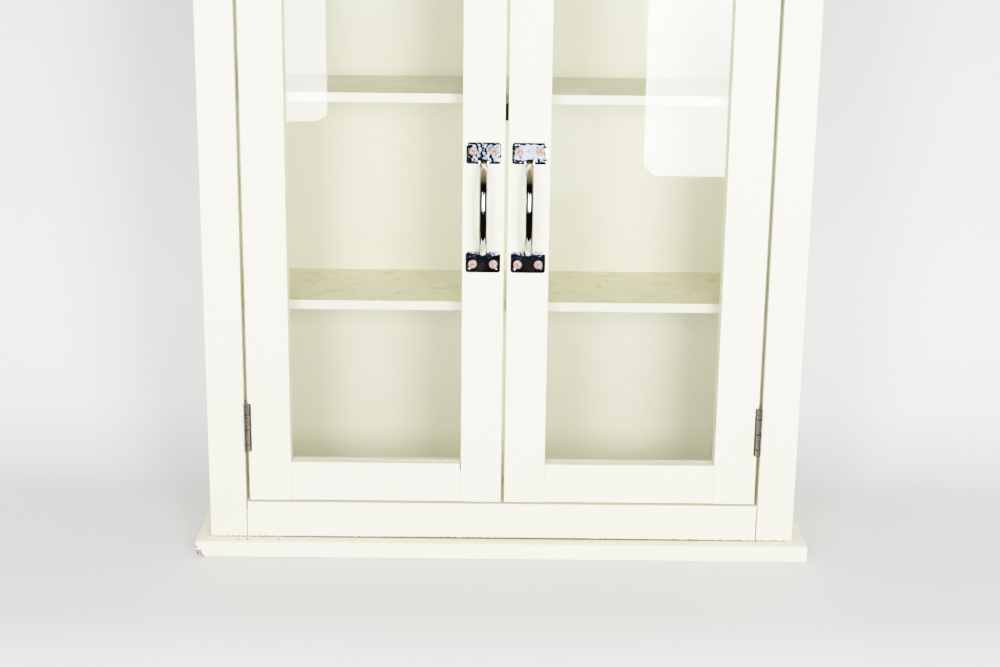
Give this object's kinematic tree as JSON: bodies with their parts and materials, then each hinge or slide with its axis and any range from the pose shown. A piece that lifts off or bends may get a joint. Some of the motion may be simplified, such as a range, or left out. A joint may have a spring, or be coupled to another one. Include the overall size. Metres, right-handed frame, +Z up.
{
  "type": "apothecary cabinet",
  "caption": "Painted apothecary cabinet: glazed doors hinged in a face frame, shelves behind them, bow handles, and a magnetic catch under the upper shelf.",
  "frame": {"origin": "centre of the base board's underside", "axes": "+Z up, +Y towards the back panel, +X towards the right-hand door as seen from the front"},
  "size_m": [0.628, 0.2107, 0.73],
  "materials": {
    "cream_paint": "satin cream paint on board",
    "door_glass": "clear float glass",
    "chrome": "polished chrome plate",
    "nickel": "dull nickel plate",
    "zinc_steel": "zinc-plated sheet steel",
    "catch_plastic": "dark brown moulded plastic",
    "magnet": "ferrite magnet between plain steel poles"
  },
  "bodies": {
    "cabinet": {"base_board": "cream_paint", "top_board": "cream_paint", "back_panel": "cream_paint", "left_side_panel": "cream_paint", "right_side_panel": "cream_paint", "frame_left_stile": "cream_paint", "frame_right_stile": "cream_paint", "frame_bottom_rail": "cream_paint", "frame_top_rail": "cream_paint", "lower_shelf": "cream_paint", "upper_shelf": "cream_paint", "catch_housing": "catch_plastic", "catch_left_magnet": "magnet", "catch_right_magnet": "magnet", "catch_left_screw": "zinc_steel", "catch_right_screw": "zinc_steel", "left_lower_hinge_frame_leaf": "nickel", "left_lower_hinge_pin": "nickel", "left_upper_hinge_frame_leaf": "nickel", "left_upper_hinge_pin": "nickel", "right_lower_hinge_frame_leaf": "nickel", "right_lower_hinge_pin": "nickel", "right_upper_hinge_frame_leaf": "nickel", "right_upper_hinge_pin": "nickel"},
    "left_door": {"left_door_hinge_stile": "cream_paint", "left_door_meeting_stile": "cream_paint", "left_door_bottom_rail": "cream_paint", "left_door_top_rail": "cream_paint", "left_door_glass": "door_glass", "left_door_bottom_bead": "cream_paint", "left_door_top_bead": "cream_paint", "left_door_inner_bead": "cream_paint", "left_door_outer_bead": "cream_paint", "left_handle": "chrome", "left_handle_screw_lower_inner": "nickel", "left_handle_screw_lower_outer": "nickel", "left_handle_screw_upper_inner": "nickel", "left_handle_screw_upper_outer": "nickel", "left_strike_plate": "zinc_steel", "left_lower_hinge_door_leaf": "nickel", "left_upper_hinge_door_leaf": "nickel"},
    "right_door": {"right_door_hinge_stile": "cream_paint", "right_door_meeting_stile": "cream_paint", "right_door_bottom_rail": "cream_paint", "right_door_top_rail": "cream_paint", "right_door_glass": "door_glass", "right_door_bottom_bead": "cream_paint", "right_door_top_bead": "cream_paint", "right_door_inner_bead": "cream_paint", "right_door_outer_bead": "cream_paint", "right_handle": "chrome", "right_handle_screw_lower_inner": "nickel", "right_handle_screw_lower_outer": "nickel", "right_handle_screw_upper_inner": "nickel", "right_handle_screw_upper_outer": "nickel", "right_strike_plate": "zinc_steel", "right_lower_hinge_door_leaf": "nickel", "right_upper_hinge_door_leaf": "nickel"}
  },
  "joints": [
    {"name": "left_door_hinge", "type": "hinge", "parent": "cabinet", "child": "left_door", "pos_m": [-0.25975, -0.085, 0.365], "axis": [0, 0, -1], "range_deg": [0, 170]},
    {"name": "right_door_hinge", "type": "hinge", "parent": "cabinet", "child": "right_door", "pos_m": [0.25975, -0.085, 0.365], "axis": [0, 0, 1], "range_deg": [0, 170]}
  ]
}
